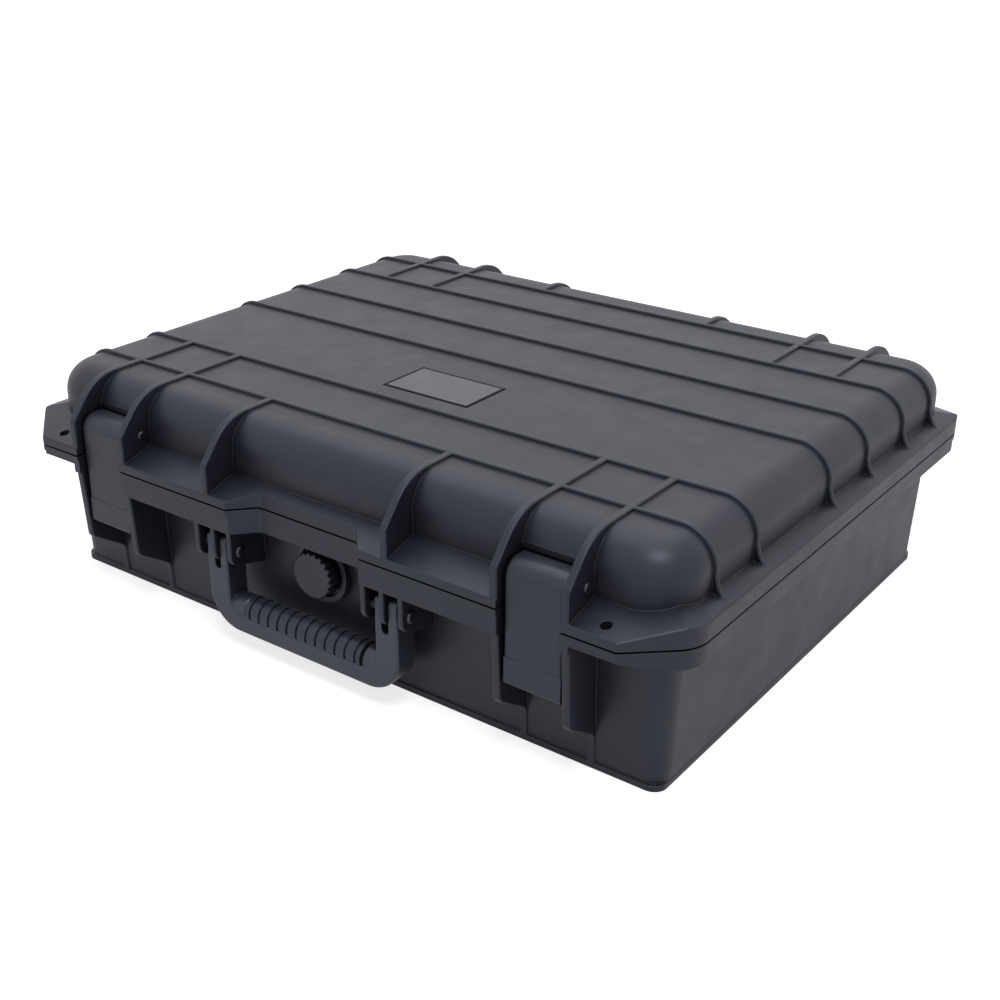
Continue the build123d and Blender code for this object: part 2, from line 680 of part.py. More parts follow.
def base_shell():
    """Base moulding."""
    low = BASE_DEPTH - BASE_FLANGE_FRONT - 1
    body = base_walls() + base_flange()
    body -= recess(low, BASE_DEPTH + 1)
    body -= latch_bays(low, BASE_DEPTH + 1)
    sweep = FIN_THICK / 2 + EAR_SIDE
    for x in FIN_X[1:]:
        body -= both_sides(rod(x - sweep, x + sweep, HINGE_Y, HINGE_Z, EAR_R + EAR_ROOM))
    body += base_fins() + handle_ears() + catches() + hinge_knuckles()
    body -= tub(BASE_HALF_X - WALL, BASE_HALF_Y - WALL, BASE_CORNER - WALL, WALL, RIM_Z + 5, DRAFT)
    body += valve_cup()
    body -= barrel(0, -CUP_FRONT, -BASE_HALF_Y / 2, VALVE_Z, VALVE_BODY_R + VALVE_BODY_GAP)
    body -= block(-CUP_R, CUP_R, -BOSS_BACK, -BASE_HALF_Y / 2, VALVE_Z - CUP_R, VALVE_Z + CUP_R)
    body -= padlock_holes()
    body -= both_sides(pin_line(HINGE_Y, HINGE_Z, HINGE_PIN_R + TIGHT)) + pin_head_room()
    reach = EAR_PITCH + EAR_THICK
    bore = rod(FORK_X - reach, FORK_X + reach, -HANDLE_PIVOT_Y, HANDLE_PIVOT_Z, HANDLE_PIN_R + TIGHT)
    return body - both_sides(bore)


def headed_pin(x, span, y, z, r, head_r):
    """Pin along X with a low rounded head at each end."""
    half = span / 2
    height = head_r * 0.45
    pin = rod(x - half, x + half, y, z, r)
    for side in (-1, 1):
        head = rod(x + side * half, x + side * (half + height), y, z, head_r)
        rim = head.edges().filter_by(GeomType.CIRCLE).sort_by(Axis.X)[-1 if side > 0 else 0]
        pin += fillet(rim, height * 0.9)
    return pin


def latch_pin():
    return headed_pin(
        LATCH_X, FIN_X[2] - FIN_X[1] + FIN_THICK + 2 * PIN_END, -LATCH_PIN_Y, LATCH_PIN_Z,
        LATCH_PIN_R, LATCH_HEAD_R,
    )


def hinge_pin():
    return headed_pin(
        LATCH_X, FIN_X[2] - FIN_X[1] + FIN_THICK + 2 * CLEAR, HINGE_Y, HINGE_Z,
        HINGE_PIN_R, HINGE_HEAD_R,
    )


def handle_pin():
    return headed_pin(
        FORK_X, 2 * EAR_PITCH + EAR_THICK + 2 * PIN_END, -HANDLE_PIVOT_Y, HANDLE_PIVOT_Z,
        HANDLE_PIN_R, HANDLE_HEAD_R,
    )


def lever_pin():
    half = LUG_OFFSET + LUG_THICK / 2 + LEVER_PIN_OUT
    return rod(LATCH_X - half, LATCH_X + half, -LEVER_Y, LEVER_Z, LEVER_PIN_R)


def latch_body():
    """Latch moulding: a round top, front skin, two cheeks and two lugs for the lever's pin."""
    x0 = LATCH_X - LATCH_HALF_WIDTH
    x1 = LATCH_X + LATCH_HALF_WIDTH
    front = -LATCH_FRONT
    back = front + LATCH_DEPTH
    hub_back = -LATCH_PIN_Y + HUB_BACK
    hub_low = LATCH_PIN_Z - HUB_BACK
    body = side_plate([
        (front, LATCH_TOP_Z, LATCH_TOP_R),
        (front, LEVER_Z + 1, 0),
        (back, LEVER_Z + 1, 0),
        (back, hub_low, HUB_ROUND / 2),
        (hub_back, hub_low, HUB_ROUND / 2),
        (hub_back, LATCH_TOP_Z, HUB_ROUND),
    ], x0, x1)
    outer = [
        e for e in body.edges()
        if abs(abs(e.center().X - LATCH_X) - LATCH_HALF_WIDTH) < 0.05
        and e.center().Z > LEVER_Z + 2
        and (e.center().Y < -LATCH_PIN_Y - 1 or e.center().Z > LATCH_PIN_Z + 1)
    ]
    body = fillet(outer, LATCH_ROUND)
    hollow_top = hub_low - LATCH_SKIN / 2
    body -= block(
        x0 + LATCH_SKIN, x1 - LATCH_SKIN, front + LATCH_SKIN, back + 1, LEVER_Z, hollow_top
    )
    body -= rod(x0 - 1, x1 + 1, -LEVER_Y, LEVER_Z, LEVER_TOP_R + LEVER_TOP_GAP)
    stem_top = LEVER_Z + LEVER_TOP_R + LUG_BACK
    for side in (-1, 1):
        x = LATCH_X + side * LUG_OFFSET
        left = x - LUG_THICK / 2
        right = x + LUG_THICK / 2
        body += rod(left, right, -LEVER_Y, LEVER_Z, LEVER_BOSS_R)
        body += block(
            left, right, -LEVER_Y + LUG_FRONT, -LEVER_Y + LUG_BACK, LEVER_Z, stem_top
        )
        body += block(
            left, right, front + 1, -LEVER_Y + LUG_BACK, stem_top - LUG_THICK, hollow_top + 1
        )
    body -= rod(x0 - 1, x1 + 1, -LATCH_PIN_Y, LATCH_PIN_Z, LATCH_PIN_R + RUNNING)
    return body - rod(x0 - 1, x1 + 1, -LEVER_Y, LEVER_Z, LEVER_PIN_R + TIGHT)


def latch_lever():
    """Lever under the latch body: a round top, a finger lip and a claw."""
    x0 = LATCH_X - LATCH_HALF_WIDTH
    x1 = LATCH_X + LATCH_HALF_WIDTH
    front = -LATCH_FRONT
    low = LEVER_BOTTOM_Z
    top = LEVER_Z + LEVER_TOP_R
    claw = -LEVER_Y + CLAW_REACH
    back = -LEVER_Y + LEVER_BACK
    body = side_plate([
        (front, top, 0),
        (front, low, 1.5),
        (claw, low, 0.5),
        (claw, low + CLAW_THICK, 0.5),
        (back, low + CLAW_THICK + LEVER_LIP, 1),
        (back, top, 0),
    ], x0, x1)
    body &= rod(x0, x1, -LEVER_Y, LEVER_Z, LEVER_TOP_R) + block(x0, x1, front, claw, low, LEVER_Z)
    body -= rod(
        LATCH_X - FINGER_HALF_X, LATCH_X + FINGER_HALF_X, -LEVER_Y - 1, low - 1, FINGER_R
    )
    for side in (-1, 1):
        x = LATCH_X + side * LUG_OFFSET
        half = LUG_THICK / 2 + LEVER_TOP_GAP
        body -= block(
            x - half, x + half, -LEVER_Y - SLOT_FRONT, -LEVER_Y + SLOT_BACK,
            LEVER_Z - SLOT_LOW, top + 1,
        )
    return body - rod(x0 - 1, x1 + 1, -LEVER_Y, LEVER_Z, LEVER_PIN_R + RUNNING)


def grip_envelope(r):
    """The grip's room: a cylinder, flat where the front strip runs past it."""
    body = rod(-GRIP_HALF_X, GRIP_HALF_X, -GRIP_Y, GRIP_Z, r)
    strip = block(
        -GRIP_HALF_X, GRIP_HALF_X, -HANDLE_FRONT - 1, -HANDLE_FRONT + GRIP_STRIP_T, 0, HANDLE_STRIP_Z
    )
    return body - strip


def handle_frame():
    """Carry handle: two forked arms and the bar that holds the grip."""
    arm_in = HANDLE_HALF_X - HANDLE_ARM
    top = HANDLE_PIVOT_Z + HANDLE_TOP_RISE
    low = HANDLE_BOTTOM_Z
    face = outline([
        (-HANDLE_HALF_X, top, HANDLE_ARM_R),
        (-HANDLE_HALF_X, low, HANDLE_CORNER),
        (HANDLE_HALF_X, low, HANDLE_CORNER),
        (HANDLE_HALF_X, top, HANDLE_ARM_R),
        (arm_in, top, HANDLE_ARM_R),
        (arm_in, HANDLE_STRIP_Z, HANDLE_INNER_R),
        (-arm_in, HANDLE_STRIP_Z, HANDLE_INNER_R),
        (-arm_in, top, HANDLE_ARM_R),
    ])
    back = HANDLE_FRONT - HANDLE_THICK
    frame = extrude(Plane.XZ.offset(back) * face, HANDLE_THICK)
    ends = [e for e in frame.edges() if abs(e.center().Y + HANDLE_FRONT) < 0.05
            or abs(e.center().Y + back) < 0.05]
    frame = fillet(ends, HANDLE_ROUND)
    side = outline([
        (-HANDLE_FRONT, low - 1, 0),
        (-HANDLE_FRONT, top, HANDLE_TOP_R),
        (-back - HANDLE_TOP_IN, top, 7),
        (-back, HANDLE_PIVOT_Z - HANDLE_HEEL, 12),
        (-back, low - 1, 0),
    ])
    reach = HANDLE_HALF_X + 1
    frame &= extrude(Plane.YZ.offset(-reach) * side, 2 * reach)
    frame -= grip_envelope(GRIP_R)
    collar = rod(GRIP_HALF_X + SHOULDER_GAP, HANDLE_HALF_X - HANDLE_ARM / 2, -GRIP_Y, GRIP_Z, SHOULDER_R)
    nose = collar.edges().filter_by(GeomType.CIRCLE).sort_by(Axis.X)[0]
    frame += both_sides(fillet(nose, SHOULDER_ROUND))
    frame += rod(-arm_in, arm_in, -GRIP_Y, GRIP_Z, GRIP_CORE_R)
    slot = block(
        FORK_X - FORK_SLOT / 2, FORK_X + FORK_SLOT / 2, -HANDLE_FRONT - 1, -back + 1,
        FORK_BOTTOM_Z + FORK_SLOT / 2, top + 1,
    )
    slot += barrel(FORK_X, -HANDLE_FRONT - 1, -back + 1, FORK_BOTTOM_Z + FORK_SLOT / 2, FORK_SLOT / 2)
    frame -= both_sides(slot)
    bore = rod(arm_in - 1, HANDLE_HALF_X + 1, -HANDLE_PIVOT_Y, HANDLE_PIVOT_Z, HANDLE_PIN_R + RUNNING)
    return frame - both_sides(bore)


def handle_grip():
    """Soft grip moulded round the handle's bar, with rings cut round it."""
    grip = grip_envelope(GRIP_R)
    ring = rod(-GRIP_GROOVE_W / 2, GRIP_GROOVE_W / 2, -GRIP_Y, GRIP_Z, GRIP_R + 1)
    ring -= rod(-GRIP_GROOVE_W / 2, GRIP_GROOVE_W / 2, -GRIP_Y, GRIP_Z, GRIP_R - GRIP_GROOVE_D)
    first = -GRIP_PITCH * (GRIP_GROOVES - 1) / 2
    for index in range(GRIP_GROOVES):
        grip -= Pos(first + index * GRIP_PITCH, 0, 0) * ring
    return grip - rod(-GRIP_HALF_X, GRIP_HALF_X, -GRIP_Y, GRIP_Z, GRIP_CORE_R)


def valve_housing():
    """Flanged insert of the valve, through the wall."""
    disc_back = CUP_FLOOR + GASKET_T
    disc_front = disc_back + VALVE_DISC_T
    end = BOSS_BACK - NUT_T - VALVE_BODY_END
    housing = barrel(0, -disc_front, -disc_back, VALVE_Z, VALVE_DISC_R)
    housing += barrel(0, -disc_front, -end, VALVE_Z, VALVE_BODY_R)
    return housing - barrel(0, -disc_front, -end - 2, VALVE_Z, KNOB_STEM_R + RUNNING)


def valve_gasket():
    ring = barrel(0, -CUP_FLOOR - GASKET_T, -CUP_FLOOR, VALVE_Z, VALVE_DISC_R - 0.5)
    return ring - barrel(0, -CUP_FLOOR - GASKET_T, -CUP_FLOOR, VALVE_Z, VALVE_BODY_R + TIGHT)


def valve_nut():
    """Hexagon nut inside the wall."""
    face = Plane.XZ.offset(BOSS_BACK - NUT_T) * Pos(0, VALVE_Z) * RegularPolygon(
        NUT_FLATS / 2, 6, major_radius=False
    )
    nut = extrude(face, NUT_T)
    return nut - barrel(0, -BOSS_BACK, -BOSS_BACK + NUT_T, VALVE_Z, VALVE_BODY_R + TIGHT)


def valve_knob():
    """Toothed knob on a stem that turns in the housing."""
    knob_back = KNOB_FRONT - KNOB_THICK
    knob = barrel(0, -KNOB_FRONT, -knob_back, VALVE_Z, KNOB_R)
    knob = chamfer(knob.faces().sort_by(Axis.Y)[0].edges(), KNOB_EDGE)
    for index in range(KNOB_TEETH):
        angle = math.radians(360 / KNOB_TEETH * index)
        x = (KNOB_R + KNOB_TOOTH * 0.2) * math.cos(angle)
        z = VALVE_Z + (KNOB_R + KNOB_TOOTH * 0.2) * math.sin(angle)
        knob -= barrel(x, -KNOB_FRONT - 1, -knob_back + 1, z, KNOB_TOOTH * 1.2)
    stem_end = BOSS_BACK - NUT_T + STEM_IN
    return knob + barrel(0, -knob_back, -stem_end, VALVE_Z, KNOB_STEM_R)


def foam_block(z0, z1):
    return tub(CAVITY_X - FOAM_GAP, CAVITY_Y - FOAM_GAP, FOAM_CORNER, z0, z1)


def valve_room():
    """Notch in the foam for the valve's nut."""
    half = NUT_FLATS * 0.7
    return block(-half, half, -CAVITY_Y, -BOSS_BACK + NUT_T + 2.5, VALVE_Z - half, TRAY_TOP_Z + 1)


def base_foam_pad():
    """Flat foam on the floor of the tub."""
    in_wall = WALL + PAD_GAP
    return tub(BASE_HALF_X - in_wall, BASE_HALF_Y - in_wall, FOAM_CORNER, WALL, WALL + PAD_T)


def base_foam_tray():
    """Foam block with the laptop's bay and two finger scoops."""
    foam = foam_block(WALL + PAD_T, TRAY_TOP_Z)
    half_x = BAY_X / 2
    bay_z = TRAY_TOP_Z - BAY_DEPTH
    foam -= tub(half_x, BAY_Y / 2, BAY_CORNER, bay_z, TRAY_TOP_Z + 1)
    scoop = post(half_x - SCOOP_R * 0.3, 0, bay_z, TRAY_TOP_Z + 1, SCOOP_R)
    return foam - both_sides(scoop) - valve_room()


def lid_foam():
    """Foam bonded under the lid's top."""
    top = TOP_Z - WALL
    foam = foam_block(top - LID_FOAM_T, top)
    return chamfer(foam.faces().sort_by(Axis.Z)[-1].edges(), LID_FOAM_CUT)


def lid_seal():
    """Rubber seal in the lid's groove."""
    return seal_ring(SEAL_WIDTH, RIM_Z + 0.1, RIM_Z + SEAL_HEIGHT + 0.1)


def save(name, shape):
    shape.label = name
    export_step(shape, f"parts/{name}.step")


os.makedirs("parts", exist_ok=True)

SINGLE = {
    "base_shell": base_shell,
    "lid_shell": lid_shell,
    "lid_seal": lid_seal,
    "nameplate": nameplate,
    "handle_frame": handle_frame,
    "handle_grip": handle_grip,
    "valve_housing": valve_housing,
    "valve_gasket": valve_gasket,
    "valve_nut": valve_nut,
    "valve_knob": valve_knob,
    "base_foam_pad": base_foam_pad,
    "base_foam_tray": base_foam_tray,
    "lid_foam": lid_foam,
}
PAIRED = {
    "latch_body": latch_body,
    "latch_lever": latch_lever,
    "latch_pin": latch_pin,
    "lever_pin": lever_pin,
    "hinge_pin": hinge_pin,
    "handle_pin": handle_pin,
}

for name, make in SINGLE.items():
    save(name, make())
for name, make in PAIRED.items():
    right = make()
    save(f"{name}_right", right)
    save(f"{name}_left", mirror(right, Plane.YZ))
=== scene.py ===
"""Laptop hard case: materials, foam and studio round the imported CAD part."""
import math

import bmesh
import bpy
from mathutils import Matrix, Vector, noise


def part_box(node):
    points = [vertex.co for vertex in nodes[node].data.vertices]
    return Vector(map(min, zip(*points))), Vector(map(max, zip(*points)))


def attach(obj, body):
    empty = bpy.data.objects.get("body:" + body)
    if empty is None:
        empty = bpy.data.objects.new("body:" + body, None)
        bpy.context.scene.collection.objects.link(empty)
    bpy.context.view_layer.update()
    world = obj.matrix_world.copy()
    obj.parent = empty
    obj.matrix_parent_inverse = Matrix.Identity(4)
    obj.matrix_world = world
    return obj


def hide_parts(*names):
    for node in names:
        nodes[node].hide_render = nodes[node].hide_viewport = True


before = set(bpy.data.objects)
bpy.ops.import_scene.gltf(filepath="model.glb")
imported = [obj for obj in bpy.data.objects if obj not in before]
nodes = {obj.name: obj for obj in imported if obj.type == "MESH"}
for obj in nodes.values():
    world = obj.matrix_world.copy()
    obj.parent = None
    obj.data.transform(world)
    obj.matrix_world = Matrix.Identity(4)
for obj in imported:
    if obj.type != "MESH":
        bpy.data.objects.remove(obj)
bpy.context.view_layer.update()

# --- Camera ---------------------------------------------------------------------
CAMERA_AZIMUTH = 35.986         # degrees
CAMERA_ELEVATION = 24.94
CAMERA_ROLL = 0.462
CAMERA_PLACE = (0.526433, -0.726665, 0.460069)
FOCAL_SHARE = 1.440401          # focal length over the picture's width
SENSOR_WIDTH = 36.0
CLIP_NEAR, CLIP_FAR = 0.01, 50.0


def make_camera():
    az, el, roll = (math.radians(a) for a in (CAMERA_AZIMUTH, CAMERA_ELEVATION, CAMERA_ROLL))
    back = Vector((math.sin(az) * math.cos(el), -math.cos(az) * math.cos(el), math.sin(el)))
    right = (-back).cross(Vector((0, 0, 1))).normalized()
    up = right.cross(-back)
    turned_right = right * math.cos(roll) + up * math.sin(roll)
    turned_up = -right * math.sin(roll) + up * math.cos(roll)
    data = bpy.data.cameras.new("photo_camera")
    data.sensor_fit = "HORIZONTAL"
    data.sensor_width = SENSOR_WIDTH
    data.lens = SENSOR_WIDTH * FOCAL_SHARE
    data.clip_start, data.clip_end = CLIP_NEAR, CLIP_FAR
    camera = bpy.data.objects.new("photo_camera", data)
    turn = Matrix((turned_right, turned_up, back)).transposed()
    camera.matrix_world = Matrix.Translation(CAMERA_PLACE) @ turn.to_4x4()
    bpy.context.collection.objects.link(camera)
    bpy.context.scene.camera = camera


# --- Materials ------------------------------------------------------------------
COOL = (0.82, 0.86, 1.0, 1.0)   # the black plastic reflects a little blue
CORNER_REACH = 0.005            # surfaces that meet within this distance get painted shade in their colour
PAINTED_SHADE_SPAN = (0.45, 0.95)      # openness from a deep corner, in full painted shade, to open surface
OUTER_SPAN = (0.80, 0.97)       # openness that tells an outer edge from an inner one
PLATE_RIM = 0.0016              # dark line round the bare plate's edge
RIM_LINE_DULLS = 0.6                # how much rougher that line is
PLASTIC_EDGE = 0.0008           # radius that the shader rounds edges to
RUBBER_EDGE = 0.0004
STEEL_EDGE = 0.0003
FOAM_PORE_DEPTH = 0.0006
PLASTICS = {                    # base colour, roughness, grain, its depth, specular level
    "shell_plastic": ((0.0125, 0.0135, 0.0215), 0.42, 1500.0, 0.00004, 0.58),
    "latch_plastic": ((0.022, 0.024, 0.034), 0.38, 1900.0, 0.00002, 0.58),
    "handle_plastic": ((0.027, 0.030, 0.043), 0.38, 1700.0, 0.00003, 0.75),
    "valve_plastic": ((0.017, 0.018, 0.023), 0.42, 1700.0, 0.00003, 0.55),
}
PLATE = ((0.100, 0.105, 0.125), 0.36, 1100.0, 0.00002, 0.5)
# paler plate edges: partly wear, partly a painted highlight
PLATE_EDGE_WEAR_AND_HIGHLIGHT = 0.2
RUBBERS = {                     # base colour, roughness, grain, its depth
    "grip_rubber": ((0.032, 0.035, 0.050), 0.38, 1300.0, 0.00004),
    "seal_rubber": ((0.018, 0.018, 0.020), 0.70, 1500.0, 0.00004),
}
PIN_STEEL = ((0.085, 0.087, 0.095), 0.42)
FOAM_COLOUR = (0.035, 0.035, 0.039)


class Graph:
    """Small helper that adds and links shader nodes."""

    def __init__(self, name):
        self.material = bpy.data.materials.new(name)
        self.material.use_nodes = True
        self.tree = self.material.node_tree
        self.tree.nodes.clear()
        self.output = self.tree.nodes.new("ShaderNodeOutputMaterial")
        self.shader = self.tree.nodes.new("ShaderNodeBsdfPrincipled")
        self.link(self.shader.outputs[0], self.output.inputs["Surface"])
        self.place = self.tree.nodes.new("ShaderNodeTexCoord").outputs["Object"]

    def link(self, source, target):
        self.tree.links.new(source, target)

    def feed(self, socket, value):
        if isinstance(value, bpy.types.NodeSocket):
            self.link(value, socket)
        elif value is not None:
            socket.default_value = value

    def noise(self, scale, detail, roughness, place=None):
        node = self.tree.nodes.new("ShaderNodeTexNoise")
        self.link(place or self.place, node.inputs["Vector"])
        node.inputs["Scale"].default_value = scale
        node.inputs["Detail"].default_value = detail
        node.inputs["Roughness"].default_value = roughness
        return node.outputs[0]

    def cells(self, scale, feature="F1"):
        node = self.tree.nodes.new("ShaderNodeTexVoronoi")
        node.feature = feature
        self.link(self.place, node.inputs["Vector"])
        node.inputs["Scale"].default_value = scale
        return node.outputs["Distance"]

    def stretch(self, scale):
        node = self.tree.nodes.new("ShaderNodeMapping")
        self.link(self.place, node.inputs["Vector"])
        node.inputs["Scale"].default_value = scale
        return node.outputs[0]

    def math(self, operation, a, b=None, c=None, clamp=False):
        node = self.tree.nodes.new("ShaderNodeMath")
        node.operation = operation
        node.use_clamp = clamp
        for socket, value in zip(node.inputs, (a, b, c)):
            self.feed(socket, value)
        return node.outputs[0]

    def span(self, value, low, high, to_low=0.0, to_high=1.0):
        node = self.tree.nodes.new("ShaderNodeMapRange")
        node.clamp = True
        self.feed(node.inputs["Value"], value)
        node.inputs["From Min"].default_value = low
        node.inputs["From Max"].default_value = high
        node.inputs["To Min"].default_value = to_low
        node.inputs["To Max"].default_value = to_high
        return node.outputs[0]

    def mix(self, factor, a, b):
        node = self.tree.nodes.new("ShaderNodeMix")
        node.data_type = "RGBA"
        self.feed(node.inputs["Factor"], factor)
        self.feed(node.inputs[6], a if isinstance(a, bpy.types.NodeSocket) else (*a, 1.0))
        self.feed(node.inputs[7], b if isinstance(b, bpy.types.NodeSocket) else (*b, 1.0))
        return node.outputs[2]

    def bump(self, height, distance, strength=1.0, normal=None):
        node = self.tree.nodes.new("ShaderNodeBump")
        node.inputs["Distance"].default_value = distance
        node.inputs["Strength"].default_value = strength
        self.link(height, node.inputs["Height"])
        if normal is not None:
            self.link(normal, node.inputs["Normal"])
        return node.outputs[0]

    def soft_edges(self, radius, samples=6):
        node = self.tree.nodes.new("ShaderNodeBevel")
        node.samples = samples
        node.inputs["Radius"].default_value = radius
        return node.outputs[0]

    def edge_mask(self, rounded, low=0.02, high=0.25):
        """1 along edges, where the rounded normal leaves the true one."""
        geometry = self.tree.nodes.new("ShaderNodeNewGeometry")
        dot = self.tree.nodes.new("ShaderNodeVectorMath")
        dot.operation = "DOT_PRODUCT"
        self.link(rounded, dot.inputs[0])
        self.link(geometry.outputs["Normal"], dot.inputs[1])
        return self.span(self.math("SUBTRACT", 1.0, dot.outputs["Value"]), low, high)

    def openness(self, reach, samples=4):
        """1 in the open and along outer edges, less in inner corners and narrow gaps."""
        node = self.tree.nodes.new("ShaderNodeAmbientOcclusion")
        node.samples = samples
        node.inputs["Distance"].default_value = reach
        return node.outputs["AO"]

    def border(self, low, high, width):
        """1 within width of the sides of an upright box, seen from above."""
        split = self.tree.nodes.new("ShaderNodeSeparateXYZ")
        self.link(self.place, split.inputs[0])
        nearest = None
        for axis in (0, 1):
            middle, half = (low[axis] + high[axis]) / 2, (high[axis] - low[axis]) / 2
            off = self.math("ABSOLUTE", self.math("SUBTRACT", split.outputs[axis], middle))
            inside = self.math("SUBTRACT", half, off)
            nearest = inside if nearest is None else self.math("MINIMUM", nearest, inside)
        return self.span(nearest, width * 0.85, width, 1.0, 0.0)

    def finish(self, **values):
        """Sets the shader's own plain values, named with _ for a space."""
        for name, value in values.items():
            self.shader.inputs[name.replace("_", " ")].default_value = value
        return self.material


def shade(colour, share, lift=0.0):
    return tuple(c * share + lift for c in colour)


def plastic(name, base, rough, grain, depth, specular, edge_wear_and_highlight=0.6, rim=None):
    """Moulded plastic: fine spark-eroded grain, faint blotches, edges paler from wear and a painted
    highlight, painted shade in inner corners.
    """
    g = Graph(name)
    fine = g.noise(grain, 3.0, 0.6)
    pits = g.cells(grain * 0.75)
    height = g.math("ADD", g.math("MULTIPLY", fine, 0.6), g.math("MULTIPLY", pits, 0.7))
    broad = g.noise(9.0, 4.0, 0.55)
    smudge = g.noise(42.0, 3.0, 0.6)
    rounded = g.soft_edges(PLASTIC_EDGE)
    open_air = g.openness(CORNER_REACH)
    edge_line = g.math("MULTIPLY", g.edge_mask(rounded), g.span(open_air, *OUTER_SPAN))
    # outer edges paler: partly scuffing, partly a painted highlight
    edge_scuff_and_highlight = g.math("MULTIPLY", edge_line, g.span(smudge, 0.42, 0.62, 0.35, 1.0))
    tone = g.mix(g.span(broad, 0.3, 0.7), shade(base, 0.90), shade(base, 1.10))
    speck = g.mix(g.span(height, 0.35, 0.85, 0.0, 0.35), tone, shade(base, 0.75))
    # painted shade: the colour goes darker towards inner corners and narrow gaps
    colour_with_painted_shade = g.mix(g.span(open_air, *PAINTED_SHADE_SPAN), shade(base, 0.25), speck)
    colour = g.mix(g.math("MULTIPLY", edge_scuff_and_highlight, edge_wear_and_highlight), colour_with_painted_shade, shade(base, 1.7, 0.025))
    plate_rim_line = 0.0
    if rim is not None:
        # dark, rougher line round the plate's edge
        plate_rim_line = g.border(*rim)
        colour = g.mix(plate_rim_line, colour, shade(base, 0.05))
    g.link(colour, g.shader.inputs["Base Color"])
    rubbed = g.math("MULTIPLY", edge_scuff_and_highlight, -0.10)
    patchy = g.span(smudge, 0.3, 0.7, rough - 0.04, rough + 0.05)
    grainy = g.math("MULTIPLY_ADD", fine, 0.10, g.math("ADD", patchy, -0.05))
    rim_line_dulled = g.math("MULTIPLY", plate_rim_line, RIM_LINE_DULLS)
    dull = g.math("ADD", g.math("ADD", grainy, rubbed), rim_line_dulled, clamp=True)
    g.link(dull, g.shader.inputs["Roughness"])
    g.link(g.bump(height, depth, 1.0, rounded), g.shader.inputs["Normal"])
    return g.finish(Specular_IOR_Level=specular, Specular_Tint=COOL)


def rubber(name, base, rough, grain, depth):
    """Soft rubber with a powdery bloom."""
    g = Graph(name)
    fine = g.noise(grain, 4.0, 0.65)
    bloom = g.noise(60.0, 3.0, 0.6)
    rounded = g.soft_edges(RUBBER_EDGE)
    edge_line = g.edge_mask(rounded)
    open_air = g.openness(CORNER_REACH)
    tone = g.mix(g.span(bloom, 0.3, 0.7), shade(base, 0.85), shade(base, 1.15))
    # painted shade: the colour goes darker towards inner corners and narrow gaps
    colour_with_painted_shade = g.mix(g.span(open_air, *PAINTED_SHADE_SPAN), shade(base, 0.2), tone)
    # outer edges paler: partly wear, partly a painted highlight
    rubber_wear_and_highlight = g.math("MULTIPLY", edge_line, g.span(open_air, *OUTER_SPAN, 0.0, 0.25))
    colour = g.mix(rubber_wear_and_highlight, colour_with_painted_shade, shade(base, 1.7))
    g.link(colour, g.shader.inputs["Base Color"])
    g.link(g.span(fine, 0.3, 0.7, rough - 0.06, rough + 0.06), g.shader.inputs["Roughness"])
    g.link(g.bump(fine, depth, 1.0, rounded), g.shader.inputs["Normal"])
    return g.finish(Specular_IOR_Level=0.45, Specular_Tint=COOL, Sheen_Weight=0.08, Sheen_Roughness=0.5)


def steel(name, base, rough):
    """Drawn steel pin with lathe marks and a dull film."""
    g = Graph(name)
    lines = g.noise(1.0, 4.0, 0.6, g.stretch((2600.0, 60.0, 60.0)))
    film = g.noise(120.0, 3.0, 0.6)
    rounded = g.soft_edges(STEEL_EDGE)
    tone = g.mix(g.span(film, 0.35, 0.7), base, shade(base, 0.6))
    g.link(tone, g.shader.inputs["Base Color"])
    g.link(g.span(lines, 0.3, 0.7, rough - 0.08, rough + 0.10), g.shader.inputs["Roughness"])
    g.link(g.bump(lines, 0.00001, 0.6, rounded), g.shader.inputs["Normal"])
    return g.finish(Metallic=1.0)


def foam(name, base):
    """Open-cell foam: dark pores between pale walls."""
    g = Graph(name)
    pores = g.cells(900.0, "SMOOTH_F1")
    small = g.cells(2100.0)
    ragged = g.noise(700.0, 4.0, 0.7)
    height = g.math("ADD", g.math("MULTIPLY", pores, 0.8), g.math("MULTIPLY", small, 0.35))
    height = g.math("ADD", height, g.math("MULTIPLY", ragged, 0.5))
    broad = g.noise(14.0, 3.0, 0.5)
    tone = g.mix(g.span(broad, 0.3, 0.7), shade(base, 0.85), shade(base, 1.2))
    colour = g.mix(g.span(height, 0.45, 1.0), tone, shade(base, 0.35))
    g.link(colour, g.shader.inputs["Base Color"])
    g.link(g.bump(height, FOAM_PORE_DEPTH), g.shader.inputs["Normal"])
    return g.finish(Roughness=0.95, Specular_IOR_Level=0.15, Sheen_Weight=0.25, Sheen_Roughness=0.6)


def make_materials():
    made = {name: plastic(name, *look) for name, look in PLASTICS.items()}
    made.update((name, rubber(name, *look)) for name, look in RUBBERS.items())
    rim = (*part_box("nameplate"), PLATE_RIM)
    made["plate"] = plastic("plate", *PLATE, edge_wear_and_highlight=PLATE_EDGE_WEAR_AND_HIGHLIGHT, rim=rim)
    made["pin_steel"] = steel("pin_steel", *PIN_STEEL)
    made["foam"] = foam("foam", FOAM_COLOUR)
    return made


def dress_nodes(materials):
    """Gives each CAD node the dressed material of the slot it came with."""
    for obj in nodes.values():
        came_with = obj.data.materials[0].name
        slot = next(s for s in materials if came_with.startswith(s))
        obj.data.materials.clear()
        obj.data.materials.append(materials[slot])


